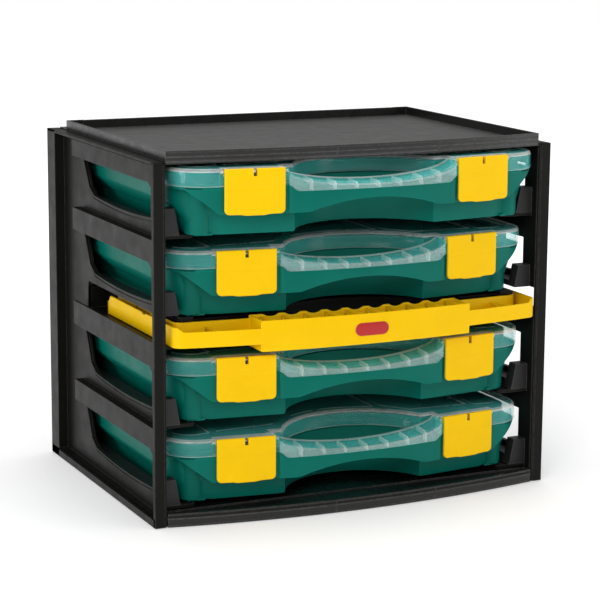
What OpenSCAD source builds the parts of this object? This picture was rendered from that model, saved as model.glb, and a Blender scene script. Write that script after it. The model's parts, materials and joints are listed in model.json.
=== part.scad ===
// Stacking rack with four slide-in organizer cases and a pull-out carrying handle.
// Origin: bottom centre of the rack. +X right, +Y back, +Z up. Millimetres.

/* [Rack] */
// Width of the rack over its side panels
rack_w = 404; // [400:1:408]
// Depth of the side panels, without the bulge of the tray and floor
rack_d = 294; // [292:1:298]
// Height of the side panels
rack_h = 332; // [331:1:336]
// How far the floor panel bulges forward at its centre
floor_bulge = 19; // [12:1:22]
// How far the top tray bulges forward at its centre
tray_bulge = 15; // [10:1:18]

/* [Cases] */
// Height of the lowest rail above the ground
first_rail = 16.3; // [16:0.1:17]
// Vertical pitch of the two cases in each half of the rack
case_pitch = 75.5; // [75:0.5:77]
// Extra height between the two halves, where the carrying handle runs
handle_gap = 22; // [22:0.5:23]
// How far the top case stands forward of the others
top_case_forward = 18; // [0:1:25]
// Overall height of a closed case
case_h = 61; // [60:0.5:61]

/* [Latches] */
// Width of a latch
latch_w = 56; // [50:1:56]
// Angle of a latch to the front of the rack
latch_angle = 7; // [5:0.5:7]

/* [Handle] */
// Half width over the arms of the carrying handle
handle_half = 185.5; // [184:0.5:186]
// Half length of the thick grip
grip_half = 106; // [90:1:110]

/* [Hidden] */

$fn = 96;
eps = 0.01;
big = 1000;

black = [0.13, 0.13, 0.125];
green = [0.0, 0.5, 0.44];
yellow = [1.0, 0.8, 0.0];
clear = [0.8, 0.84, 0.82, 0.45];
steel = [0.7, 0.7, 0.72];
badge_red = [0.75, 0.16, 0.15];

// ---- rack ----
half_w = rack_w / 2;
front_y = -rack_d / 2;
back_y = rack_d / 2;
web_in = 189.8;          // inner face of the recessed side wall
web_t = 2.5;
post_in = 190.5;         // inner edge of the front posts
post_t = 5;              // thickness of a front post, front to back
back_post = 23;          // width of a back post, front to back
wall = 2.5;
bar_out = 201;           // outer face of the side bars
bar_back = 75;           // back end of the side bars
border_h = 9;            // height of the border along the bottom of a side panel
panel_gap = 0.1;         // gap between panels that are clipped together
back_inner = back_y - 3; // front face of the back panel

rail_in = 158;           // inner edge of a rail's ledge
rail_t = 3.5;
rail_front = -135;
tower_back = -122;
tower_h = 24;
rail_wall_h = 8;
window_front = -121;
rail_z = [first_rail + 3 * case_pitch + handle_gap, first_rail + 2 * case_pitch + handle_gap,
          first_rail + case_pitch, first_rail];
bar_low = [313, 241, 147, 71];
bar_high = [329, 262.5, 170.5, 91.4];

// handle niche in the side panels
niche_in = 169.5;
niche_wall = 2;
niche_back = 55;
niche_floor = 165.7;
niche_top = rail_z[1] - rail_t;
niche_high = 192;        // upper edge of the niche where it opens to the outside
lug_half = 3;            // half width of the stop lug under an arm
handle_travel = 100;

// ---- case ----
case_half = 184;         // half width of the lid at its skirt
front_corner = 33.7;      // corner radii of the lid, seen from above
back_corner = 18;
case_back = 136;
case_z = [for (z = rail_z) z + 0.3];
case_y = [-top_case_forward, 0, 0, 0];
latch_x = 115;           // centre of a latch, from the middle of the case
latch_y = -151.5;        // front line of the lid at the middle of a latch
bar_r = 510;             // radius of the handle bar's front, seen from above
bar_cy = 344;
bar_depth = 22;
bar_half = 84;
hole_r = 78.2;           // finger hole behind the bar
hole_cy = -170.2;
bite_r = 81.2;           // concave finger wall of the base
bite_cy = -171;
skin = 2.2;
lid_low = 45;            // lower edge of the lid's skirt
bar_lid_low = 39.5;      // the same at the handle bar
flange_top = lid_low - 0.3;
box_h = case_h - 5;
rim_in = 5.2;            // inset of the box's upper wall, inside the lid
skirt_low = 20;          // lower edge of the front skirt
arch_half = 65;          // half width and rise of the arch in that edge
arch_rise = 11;
pin_r = 1.25;
pin_play = 0.05;
axis_in = 2.4;           // latch axis behind the lid's front line
axis_z = 57;
pocket_back = 6.8;
rod_r = 1.5;
rod_y = 139.6;
rod_z = 47;
knuckle_r = 3.4;
knuckle_n = 7;
knuckle_w = 24;
knuckle_pitch = 44;
divider_t = 1.6;

// ---- carrying handle ----
arm_w = 11;
handle_z = 166;
handle_t = 18.5;
handle_lip = 14.5;       // height of the low front wall at the ends
grip_low = 159;
grip_high = 187.5;
handle_front = -173;     // front of the grip at its centre
handle_corner = -155;    // front of the bar at its ends
handle_corner_r = 10;    // rounded corners between bar and arms
handle_arm_back = 21;
badge_x = 1;             // centre of the badge on the grip
badge_z = 173;
handle_back = -139;      // back of the grip at its centre
handle_back_end = -130;  // back of the bar at its ends
lug_x = 180;             // stop lug under an arm
lug_y = -25;
lug_l = 6;
scallop_pitch = 21.2;
scallop_r = 13;
scallop_d = 2.5;

// radius of a circle through a chord of half width w with the sagitta s
function sag_r(w, s) = (w * w + s * s) / (2 * s);

// ================= rack =================

// Outline of one side window in (Y, Z): slanted back edge, chamfered corner, sagging lower edge.
module window_outline(z_rail, z_top, grow) {
  sag = 3 + grow * 0.2;
  low = z_rail + 15 - grow;
  front = window_front - grow;
  back_low = 44 + grow;
  back_high = 58 + grow;
  r = sag_r((back_low - 8 - front) / 2, sag);
  intersection() {
    polygon([[front, low - 10], [back_low - 19.4, low - 10], [back_low, low + 7],
             [back_high, z_top], [front, z_top]]);
    translate([(back_low - 8 + front) / 2, low - sag + r]) circle(r = r, $fn = 720);
  }
}

// Extrudes a (Y, Z) outline along X from x0 to x1.
module along_x(x0, x1) {
  translate([x0, 0, 0]) rotate([90, 0, 90]) linear_extrude(x1 - x0) children();
}

// Extrudes an (X, Z) outline along Y from y0 to y1.
module along_y(y0, y1) {
  translate([0, y1, 0]) rotate([90, 0, 0]) linear_extrude(y1 - y0) children();
}

module side_web() {
  lip = 2.5;
  lip_out = 2.2;
  difference() {
    union() {
      translate([web_in, front_y + 3, 0]) cube([web_t, back_y - back_post - front_y - 2, rack_h]);
      for (i = [0 : 3])
        along_x(web_in + web_t - eps, web_in + web_t + lip_out)
          window_outline(rail_z[i], bar_low[i] - 3 + lip, lip);
    }
    for (i = [0 : 3])
      along_x(web_in - 1, web_in + web_t + lip_out + 1)
        window_outline(rail_z[i], bar_low[i] - 3, 0);
    translate([web_in - 1, front_y, niche_floor])
      cube([web_t + 6, niche_back - front_y, niche_high - niche_floor]);
  }
}

module side_bar(i) {
  z0 = bar_low[i];
  z1 = bar_high[i];
  y0 = front_y + post_t - eps;
  depth = bar_out - web_in - web_t;
  translate([bar_out - wall, y0, z0]) cube([wall, bar_back - y0, z1 - z0]);
  translate([web_in + web_t - eps, y0, z0]) cube([depth, bar_back - y0, wall]);
  if (i != 2)
    translate([web_in + web_t - eps, y0, z1 - wall]) cube([depth, bar_back - y0, wall]);
  along_x(bar_out - wall, bar_out)
    polygon([[y0, z0 + 1], [y0, z0 - 7], [y0 + 12, z0], [y0 + 12, z0 + 1]]);
}

// (X, Z) section of a rail's slanted wall, from its ledge at height z up to z + h.
module rail_wall(z, h) {
  foot = 172.5;
  slope = 0.192;
  polygon([[foot, z - 1], [foot + slope * (h + 1), z + h], [web_in + 1, z + h],
           [web_in + 1, z - 1]]);
}

module side_rail(i) {
  z = rail_z[i];
  y1 = back_y - back_post - 2;
  translate([rail_in, rail_front, z - rail_t]) cube([web_in + 1 - rail_in, y1 - rail_front, rail_t]);
  along_y(rail_front, tower_back) rail_wall(z, tower_h);
  along_y(tower_back - 1, y1) rail_wall(z, rail_wall_h);
}

// Channel in which an arm of the carrying handle slides.
module handle_niche() {
  y0 = front_y + post_t;
  wall_y = handle_back_end + 3;
  translate([niche_in, wall_y, niche_floor - wall])
    cube([niche_wall, niche_back - wall_y, niche_top - niche_floor + 2 * wall]);
  translate([niche_in, niche_back, niche_floor - wall])
    cube([web_in + web_t - niche_in, niche_wall, niche_top - niche_floor + 2 * wall]);
  difference() {
    along_y(y0, niche_back + niche_wall)
      polygon([[niche_in, niche_floor - wall], [web_in, niche_floor - wall],
               [bar_out, bar_high[2] - wall], [bar_out, bar_high[2]], [web_in, niche_floor],
               [niche_in, niche_floor]]);
    // slot in which the stop lug of the arm runs
    translate([lug_x - lug_half - 0.5, lug_y - handle_travel, niche_floor - 10])
      cube([2 * lug_half + 1, handle_travel + lug_l + 1, 20]);
  }
}

// Room in the rail above the arm, so that the arm's top is open to the outside.
module niche_room() {
  translate([niche_in + niche_wall, front_y + post_t, niche_floor])
    cube([web_in - niche_in - niche_wall + 0.5, niche_back - front_y - post_t, niche_high - niche_floor]);
}

module side_panel() {
  post_h = rack_h - wall;
  difference() {
    union() {
      side_web();
      difference() {
        for (i = [0 : 3]) side_rail(i);
        niche_room();
      }
      for (i = [0 : 3]) side_bar(i);
      handle_niche();
      // front post
      translate([post_in, front_y, 0]) cube([half_w - post_in, post_t, rack_h]);
      // back post, a channel open to the back
      difference() {
        translate([web_in, back_y - back_post, 0]) cube([half_w - web_in, back_post, rack_h]);
        translate([web_in + wall, back_y - back_post + wall, wall])
          cube([half_w - web_in - 2 * wall, back_post, rack_h - 2 * wall]);
      }
      // top and bottom borders
      translate([web_in, front_y, post_h]) cube([half_w - web_in, rack_d, wall]);
      translate([half_w - wall, front_y, 0]) cube([wall, rack_d, border_h]);
      translate([web_in, front_y, border_h - wall]) cube([half_w - web_in, rack_d, wall]);
    }
    // room under the bottom border, open downwards
    translate([web_in + wall, front_y + post_t, -1])
      cube([half_w - web_in - 2 * wall, rack_d - post_t - 2 * wall, border_h - wall + 1]);
  }
}

module side_panel_left() { color(black) mirror([1, 0, 0]) side_panel(); }
module side_panel_right() { color(black) side_panel(); }

// Plan of a panel whose front edge is an arc that bulges forward.
module bulged_plan(half, y_side, bulge, y_back) {
  r = sag_r(half, bulge);
  intersection() {
    translate([0, y_side - bulge + r]) circle(r = r, $fn = 1440);
    translate([-half, y_side - bulge - 1]) square([2 * half, y_back - y_side + bulge + 1]);
  }
}

tray_half = web_in - panel_gap;
tray_z = 329.5;
tray_floor_z = 333;
tray_rim_z = 341.5;
tray_rim_back = 121.5;

module top_tray() {
  y_side = -145;
  notch = 18;
  color(black) difference() {
    union() {
      translate([0, 0, tray_z]) linear_extrude(tray_floor_z - tray_z)
        bulged_plan(tray_half, y_side, tray_bulge, back_inner - panel_gap);
      translate([0, 0, tray_z]) linear_extrude(tray_rim_z - tray_z)
        bulged_plan(tray_half, y_side, tray_bulge, tray_rim_back + 2);
    }
    translate([0, 0, tray_floor_z]) linear_extrude(tray_rim_z) difference() {
      bulged_plan(tray_half - wall, y_side + wall, tray_bulge, tray_rim_back - 0.5);
      translate([-(tray_half - notch) - 2, tray_rim_back - 3]) square([2 * (tray_half - notch) + 4, 10]);
    }
    // the back rim steps forward between two corner notches
    translate([-tray_half + notch, tray_rim_back, tray_floor_z])
      cube([2 * (tray_half - notch), 10, 20]);
    // shallow frame of a blank label area on the front edge
    for (x = [-30, 75]) translate([x, y_side - tray_bulge - 1, tray_z - 1]) cube([1, 2.2, 20]);
  }
}

floor_top = 11;
floor_rim = 12.5;
floor_rib = 8;

module bottom_panel() {
  half = web_in - panel_gap;
  y_back = back_inner - panel_gap;
  color(black) difference() {
    union() {
      translate([0, 0, floor_top - 3]) linear_extrude(3)
        bulged_plan(half, front_y, floor_bulge, y_back);
      difference() {
        linear_extrude(floor_rim) bulged_plan(half, front_y, floor_bulge, y_back);
        translate([0, 0, -1]) linear_extrude(floor_rim + 2)
          bulged_plan(half - wall, front_y + wall, floor_bulge, y_back - wall);
        translate([-half - 1, front_y + 10, floor_top]) cube([2 * half + 2, rack_d, 10]);
      }
      // centre rib that the floor rests on
      translate([-floor_rib / 2, front_y, 0]) cube([floor_rib, y_back - front_y - 1, floor_top - 1]);
    }
    for (x = [-30, 75]) translate([x, front_y - floor_bulge - 1, -1]) cube([1, 2.4, 20]);
  }
}

module back_panel() {
  half = web_in - panel_gap;
  z0 = panel_gap;
  h = tray_z - 2 * panel_gap;
  color(black) union() {
    translate([-half, back_inner, z0]) cube([2 * half, 3 - panel_gap, h]);
    // border and cross ribs that stiffen the sheet, on its front face
    for (z = [rail_z[0] - 9, rail_z[2] - 9])
      translate([-half + 20, back_inner - 0.8, z]) cube([2 * half - 40, 1, 5]);
  }
}

shelf_low = 162;
shelf_high = niche_top - 0.3;

module shelf_plan(inset) {
  bite = 121;
  difference() {
    translate([-niche_in + 0.2 + inset, -125 + inset])
      square([2 * (niche_in - 0.2 - inset), back_inner + 125 - panel_gap - 2 * inset]);
    translate([0, -85 - bite]) circle(r = bite + inset, $fn = 360);
  }
}

module mid_shelf() {
  color(black) translate([0, 0, shelf_low]) difference() {
    linear_extrude(shelf_high - shelf_low) shelf_plan(0);
    translate([0, 0, -1]) linear_extrude(shelf_high - shelf_low - wall + 1) shelf_plan(wall);
  }
}

// ================= case =================

// Plan of a case: slanted fronts on both sides of a bulging handle bar.
module case_plan(inset) {
  a = latch_angle;
  w = case_half - inset;
  rf = front_corner - inset;
  rb = back_corner - inset;
  yb = case_back - inset;
  line0 = latch_y + inset / cos(a);
  yc = line0 + (w - rf - latch_x) * tan(a) + rf / cos(a);
  tx = w - rf + rf * sin(a);
  ty = yc - rf * cos(a);
  inner_x = bar_half - 2;
  inner_y = line0 + (inner_x - latch_x) * tan(a);
  for (s = [0, 1]) mirror([s, 0]) {
    polygon([[-eps, inner_y], [inner_x, inner_y], [tx, ty], [w - rf, yc], [w, yc], [w, yb - rb],
             [w - rb, yb], [-eps, yb]]);
    translate([w - rf, yc]) circle(r = rf);
    translate([w - rb, yb - rb]) circle(r = rb);
  }
  intersection() {
    translate([0, bar_cy]) circle(r = bar_r - inset, $fn = 720);
    translate([-bar_half + inset, -180]) square([2 * (bar_half - inset), 60]);
  }
}

// The strip of the handle bar, seen from above, between its front and back arcs.
module bar_plan(front_inset, back_inset) {
  difference() {
    intersection() {
      translate([0, bar_cy]) circle(r = bar_r - front_inset, $fn = 720);
      translate([-bar_half + front_inset, -180]) square([2 * (bar_half - front_inset), 60]);
    }
    translate([0, bar_cy]) circle(r = bar_r - bar_depth + back_inset, $fn = 720);
  }
}

// The finger hole between the bar and the box.
module hole_plan(inset) {
  intersection() {
    translate([0, hole_cy]) circle(r = hole_r - inset, $fn = 360);
    translate([0, bar_cy]) circle(r = bar_r - bar_depth - inset, $fn = 720);
  }
}

// Plan of the box below the lid, with its concave finger wall.
module tray_plan(inset) {
  difference() {
    intersection() {
      case_plan(inset);
      for (s = [0, 1]) mirror([s, 0])
        polygon([[-1, -141 + inset], [78, -141 + inset], [150, -132 + inset],
                 [200, -126 + inset], [200, 200], [-1, 200]]);
    }
    translate([0, bite_cy]) circle(r = bite_r - rim_in + inset, $fn = 360);
  }
}

// (X, Z) section of the box: narrow foot, slanted flank, upright wall up to the given height.
module box_section(half, floor_z, top) {
  foot = half - 16.6;
  flank = half - 12.6;
  polygon([[-foot, floor_z], [foot, floor_z], [flank, 16], [half, 30], [half, top], [-half, top],
           [-half, 30], [-flank, 16]]);
}

// Frame of one latch: origin on the lid's front line, X along it, Y into the case.
module at_latch(side) {
  mirror([side < 0 ? 1 : 0, 0, 0])
    translate([latch_x, latch_y, 0]) rotate([0, 0, latch_angle]) children();
}

// Open box with thin walls, stepped in above the flange so that the lid fits over it.
module box_shell() {
  difference() {
    union() {
      intersection() {
        linear_extrude(flange_top) tray_plan(1.4);
        along_y(-200, 200) box_section(case_half - 1.4, 0, flange_top);
      }
      translate([0, 0, flange_top - 1]) linear_extrude(box_h - flange_top + 1) tray_plan(rim_in);
    }
    box_cavity(skin);
  }
}

// Inside of the box, or what fits in it with a larger inset.
module box_cavity(inset) {
  intersection() {
    linear_extrude(big) tray_plan(rim_in + inset);
    along_y(-200, 200) box_section(case_half - rim_in - inset, inset, 100);
  }
}

// Flange that carries the lid, from the box out to the front skirt.
module lid_flange() {
  translate([0, 0, flange_top - skin]) linear_extrude(skin) difference() {
    case_plan(1.2);
    hole_plan(0);
    bar_plan(-1, -1);
    tray_plan(rim_in + skin);
  }
}

// Front skirt with its arched lower edge, and the lower half of the handle bar.
module front_skirt() {
  arch_r = sag_r(arch_half, arch_rise);
  difference() {
    intersection() {
      translate([0, 0, skirt_low]) linear_extrude(flange_top - skirt_low) difference() {
        union() {
          difference() { case_plan(1.2); case_plan(3.4); }
          bar_plan(1.2, 0);
        }
        translate([-200, -100]) square([400, 300]);
      }
      along_y(-200, 0) polygon([[-180, 46], [-146, skirt_low], [146, skirt_low], [180, 46]]);
    }
    along_y(-200, 0) translate([0, skirt_low + arch_rise - arch_r]) circle(r = arch_r, $fn = 360);
    translate([0, 0, bar_lid_low - 0.3]) linear_extrude(big) bar_plan(-2, 0);
    linear_extrude(bar_lid_low - 0.3 - skin) bar_plan(3.4, skin);
  }
}

module case_base(k) {
  color(green) translate([0, case_y[k], case_z[k]]) difference() {
    union() {
      box_shell();
      lid_flange();
      front_skirt();
      // feet under the front corners
      for (s = [-1, 1]) translate([s * 155 - 8, -118, -0.2]) cube([16, 12, 2]);
      // catch ridges for the latches
      for (s = [-1, 1]) at_latch(s) translate([-18, 0.4, 24.2]) cube([36, 1.4, 2.6]);
      for (i = [0 : 2 : knuckle_n - 1]) base_knuckle(i);
    }
    // room for the clear half of the handle bar
    translate([0, 0, bar_lid_low - 0.3]) linear_extrude(big) intersection() {
      bar_plan(-2, -0.5);
      translate([-bar_half - 2, -148]) square([2 * bar_half + 4, 20]);
    }
    translate([-200, rod_y, rod_z]) rotate([0, 90, 0]) cylinder(r = rod_r + pin_play, h = 400);
  }
}

function knuckle_x(i) = (i - (knuckle_n - 1) / 2) * knuckle_pitch;

module base_knuckle(i) {
  translate([knuckle_x(i) - knuckle_w / 2, rod_y, rod_z]) rotate([0, 90, 0])
    cylinder(r = knuckle_r, h = knuckle_w);
  translate([knuckle_x(i) - knuckle_w / 2, 132, flange_top - skin])
    cube([knuckle_w, rod_y - 132, skin]);
}

module lid_knuckle(i) {
  translate([knuckle_x(i) - knuckle_w / 2, rod_y, rod_z]) rotate([0, 90, 0])
    cylinder(r = knuckle_r, h = knuckle_w);
  translate([knuckle_x(i) - knuckle_w / 2, 134.5, rod_z + 1.4]) cube([knuckle_w, rod_y - 134.5, 2]);
}

// The strip above the lid's profile over the handle bar, where the clear top dips.
module dip_section() {
  polygon([[-83, 59], [-78, 57], [-60, 49], [-30, 46], [0, 45.2], [30, 46], [60, 49], [78, 57],
           [83, 59], [83, 90], [-83, 90]]);
}

module lid_panels() {
  xs = [-173, -138.5, -131.5, -51.5, -44.5, 44.5, 51.5, 131.5, 138.5, 173];
  for (i = [0 : 2 : 8]) {
    front = (i == 4) ? -74 : (i == 2 || i == 6) ? -100 : -106;
    translate([xs[i], front, 0]) square([xs[i + 1] - xs[i], -front - 8]);
    translate([xs[i], -1, 0]) square([xs[i + 1] - xs[i], 124]);
  }
}

module case_lid(k) {
  top_t = 2.2;
  color(clear) translate([0, case_y[k], case_z[k]]) difference() {
    union() {
      difference() {
        union() {
          translate([0, 0, lid_low]) linear_extrude(case_h - 1.2 - lid_low) case_plan(0);
          translate([0, 0, lid_low]) linear_extrude(case_h - lid_low) case_plan(1.4);
          translate([0, 0, bar_lid_low]) linear_extrude(10) bar_plan(0, 0);
        }
        // room for the box's walls
        translate([0, 0, lid_low - eps]) linear_extrude(case_h - top_t - lid_low) difference() {
          case_plan(2.2);
          hole_plan(-1.6);
          translate([-bar_half + 1, -200]) square([2 * bar_half - 2, 200 - 138]);
        }
        translate([0, 0, bar_lid_low - eps]) linear_extrude(3.6) bar_plan(2.2, 2.2);
        translate([0, 0, bar_lid_low - eps]) linear_extrude(big) hole_plan(0);
        intersection() {
          along_y(-200, -130) dip_section();
          linear_extrude(big) bar_plan(-4, -6);
        }
        // shallow recesses of the top
        translate([0, 0, case_h - 1]) linear_extrude(5) lid_panels();
      }
      for (i = [0 : knuckle_n - 1]) if (i % 2 == 1) lid_knuckle(i);
      // wall behind each latch pocket, closing the lid
      for (s = [-1, 1]) at_latch(s)
        translate([-latch_w / 2 - 3, pocket_back, 52.6])
          cube([latch_w + 6, 1.6, case_h - 1.2 - 52.6]);
      // ears that hold the latch pins
      for (s = [-1, 1], e = [-1, 1]) at_latch(s)
        translate([e * (latch_w / 2 + 2) - 1.7, 0.2, lid_low])
          cube([3.4, pocket_back, case_h - 1.2 - lid_low]);
    }
    for (s = [-1, 1]) at_latch(s) {
      translate([-latch_w / 2 - 0.3, -10, 30]) cube([latch_w + 0.6, 10 + pocket_back, 60]);
      translate([-latch_w / 2 - 3.7, axis_in, axis_z]) rotate([0, 90, 0])
        cylinder(r = pin_r + pin_play / 2, h = latch_w + 7.4);
    }
    translate([-200, rod_y, rod_z]) rotate([0, 90, 0]) cylinder(r = rod_r + pin_play, h = 400);
  }
}

// Removable partitions in the open box: long plates, and short ones that stand between them.
module case_dividers(k) {
  z0 = skin + 0.3;
  h = case_h - 6 - z0;
  xs = [-200, -135, -48, 48, 135, 200];
  play = divider_t / 2 + 0.1;
  color(green) translate([0, case_y[k], case_z[k]]) intersection() {
    union() {
      for (i = [1 : 4]) translate([xs[i] - divider_t / 2, -150, z0]) cube([divider_t, 300, h]);
      for (i = [0 : 4], y = [-20, 55])
        translate([xs[i] + play, y, z0]) cube([xs[i + 1] - xs[i] - 2 * play, divider_t, h]);
    }
    box_cavity(skin + 0.3);
  }
}

module case_hinge_rod(k) {
  half = knuckle_x(knuckle_n - 1) + knuckle_w / 2 + 1;
  color(steel) translate([-half, rod_y + case_y[k], rod_z + case_z[k]]) rotate([0, 90, 0])
    cylinder(r = rod_r, h = 2 * half);
}

module case_latch_pins(k) {
  color(steel) translate([0, case_y[k], case_z[k]]) for (s = [-1, 1]) at_latch(s)
    translate([-latch_w / 2 - 3.4, axis_in, axis_z]) rotate([0, 90, 0])
      cylinder(r = pin_r, h = latch_w + 6.8);
}

// Flap that swings up about the pin in the lid and snaps under the catch ridge of the base.
module case_latch(k, side) {
  low = 19;
  high = 60.8;
  face = -3.2;
  t = 2.8;
  r = 5;
  w = latch_w;
  color(yellow) translate([0, case_y[k], case_z[k]]) at_latch(side) difference() {
    union() {
      along_y(face, face + t) difference() {
        union() {
          translate([-w / 2, low + r]) square([w, high - low - r]);
          translate([-w / 2 + r, low]) square([w - 2 * r, r + 1]);
          for (s = [-1, 1]) translate([s * (w / 2 - r), low + r]) circle(r = r);
        }
        translate([-1.7, high - 7]) square([3.4, 8]);
      }
      // barrel round the pin
      translate([-w / 2 + 0.3, axis_in, axis_z]) rotate([0, 90, 0]) cylinder(r = 2.9, h = w - 0.6);
      translate([-w / 2 + 0.3, face + t - eps, axis_z - 2.4])
        cube([w - 0.6, axis_in - face - t, 4.8]);
      // hook that snaps under the ridge
      translate([-w / 2 + 10, face + t - eps, 21.6]) cube([w - 20, 1.3, 2.2]);
    }
    translate([-w, axis_in, axis_z]) rotate([0, 90, 0]) cylinder(r = pin_r + pin_play, h = 2 * w);
    translate([-1.7, face - 1, high - 7]) cube([3.4, t + 1.4, 10]);
  }
}

// ================= carrying handle =================

// radius of the handle's front, seen from above
function handle_front_r() = sag_r(handle_half, handle_corner - handle_front);

module handle_plan(inset) {
  half = handle_half - inset;
  inner = handle_half - arm_w + inset;
  back_r = sag_r(handle_half - arm_w, handle_back_end - handle_back);
  corner_x = handle_half - handle_corner_r;
  // the corner circle stands 0.3 forward of the one that would touch the front arc
  corner_y = handle_front + handle_front_r() - 0.3
    - sqrt(pow(handle_front_r() - handle_corner_r, 2) - pow(corner_x, 2));
  difference() {
    intersection() {
      translate([0, handle_front + handle_front_r()]) circle(r = handle_front_r() - inset, $fn = 1440);
      union() {
        translate([-half, corner_y]) square([2 * half, handle_arm_back - corner_y - inset]);
        translate([-corner_x, -200]) square([2 * corner_x, 100]);
        for (s = [-1, 1]) translate([s * corner_x, corner_y]) circle(r = handle_corner_r - inset);
      }
    }
    intersection() {
      translate([0, handle_back + back_r]) circle(r = back_r + inset, $fn = 1440);
      translate([-inner, -200]) square([2 * inner, 400]);
    }
  }
}

// Thin upright rib from point a to point b, seen from above.
module handle_rib(a, b) {
  d = b - a;
  translate(a) rotate([0, 0, atan2(d[1], d[0])]) translate([0, -0.9, 0]) cube([norm(d), 1.8, 300]);
}

module handle_ribs() {
  front = handle_front - 5;
  back = handle_back_end + 5;
  // zigzag under the grip
  for (i = [-5 : 4], s = [0, 1]) {
    x = (i + s) * scallop_pitch;
    handle_rib([x, front], [(i + 0.5) * scallop_pitch, back]);
  }
  for (s = [-1, 1]) {
    handle_rib([s * grip_half, front], [s * grip_half, back]);
    handle_rib([s * 142, front], [s * 148, back]);
    handle_rib([s * 160, front], [s * 148, back]);
    for (y = [-95, -45]) handle_rib([s * 186, y], [s * 170, y + 12]);
  }
}

module carry_handle() {
  floor_t = 2;
  high = handle_z + handle_t;
  color(yellow) difference() {
    union() {
      translate([0, 0, handle_z]) linear_extrude(handle_t) handle_plan(0);
      // thick grip
      translate([0, 0, grip_low]) linear_extrude(grip_high - grip_low) intersection() {
        handle_plan(0);
        translate([-grip_half, -200]) square([2 * grip_half, 100]);
      }
      // stop lugs under the arms
      for (s = [-1, 1]) translate([s * lug_x - lug_half, lug_y, handle_z - 2.2])
        cube([2 * lug_half, lug_l, 3]);
    }
    difference() {
      translate([0, 0, handle_z + floor_t]) linear_extrude(40) handle_plan(wall);
      handle_ribs();
    }
    // the front wall is lower beside the grip
    translate([0, handle_front + handle_front_r(), handle_z + handle_lip]) difference() {
      cylinder(r = handle_front_r() + 1, h = 10, $fn = 1440);
      translate([0, 0, -1]) cylinder(r = handle_front_r() - 7, h = 12, $fn = 1440);
      translate([-grip_half, -2 * big, -1]) cube([2 * grip_half, 2 * big, 12]);
    }
    // finger scallops along the back of the grip
    for (i = [-4 : 4]) along_y(-164, -125)
      translate([i * scallop_pitch, grip_high + scallop_r - scallop_d]) circle(r = scallop_r);
    // detent notches in the arms
    for (s = [-1, 1]) translate([s * 180 - 10, -78, high - 2.5]) cube([20, 5, 5]);
  }
}

// Plain blank badge on the front of the grip.
module handle_badge() {
  w = 34;
  h = 12;
  front_r = handle_front_r();
  color(badge_red) intersection() {
    along_y(-180, -155) translate([badge_x, badge_z]) union() {
      square([w - h, h], center = true);
      for (s = [-1, 1]) translate([s * (w - h) / 2, 0]) circle(d = h);
    }
    translate([0, handle_front + front_r, 150]) difference() {
      cylinder(r = front_r + 0.8, h = 60, $fn = 1440);
      translate([0, 0, -1]) cylinder(r = front_r + 0.02, h = 62, $fn = 1440);
    }
  }
}

side_panel_left();
side_panel_right();
top_tray();
bottom_panel();
back_panel();
mid_shelf();
carry_handle();
handle_badge();
for (k = [0 : 3]) {
  case_base(k);
  case_lid(k);
  case_dividers(k);
  case_hinge_rod(k);
  case_latch_pins(k);
  case_latch(k, -1);
  case_latch(k, 1);
}
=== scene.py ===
"""Looks of the rack organizer: a black rack, four green cases with clear lids, and a yellow handle."""
import json
import math

import bmesh
import bpy
from mathutils import Matrix, Vector

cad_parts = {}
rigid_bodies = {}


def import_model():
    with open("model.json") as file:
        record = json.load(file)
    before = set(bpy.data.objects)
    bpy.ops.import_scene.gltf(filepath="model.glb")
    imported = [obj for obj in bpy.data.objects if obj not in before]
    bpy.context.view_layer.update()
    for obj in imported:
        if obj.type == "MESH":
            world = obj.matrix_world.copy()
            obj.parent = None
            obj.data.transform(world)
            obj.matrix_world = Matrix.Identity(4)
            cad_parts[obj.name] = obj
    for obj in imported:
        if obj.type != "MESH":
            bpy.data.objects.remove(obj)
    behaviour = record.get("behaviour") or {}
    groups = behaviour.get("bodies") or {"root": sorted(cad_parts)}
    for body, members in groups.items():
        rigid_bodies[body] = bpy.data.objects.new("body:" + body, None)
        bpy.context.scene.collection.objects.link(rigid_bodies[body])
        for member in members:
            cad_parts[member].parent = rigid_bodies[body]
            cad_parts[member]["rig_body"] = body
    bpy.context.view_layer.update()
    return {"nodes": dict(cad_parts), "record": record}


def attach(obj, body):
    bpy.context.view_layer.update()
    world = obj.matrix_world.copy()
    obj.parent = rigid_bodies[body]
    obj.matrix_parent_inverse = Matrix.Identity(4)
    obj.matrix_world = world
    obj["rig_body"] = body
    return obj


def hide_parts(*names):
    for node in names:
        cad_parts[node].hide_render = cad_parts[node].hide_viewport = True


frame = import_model()
MM = 0.001
CASES = (1, 2, 3, 4)


# ---------------------------------------------------------------- materials

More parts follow.
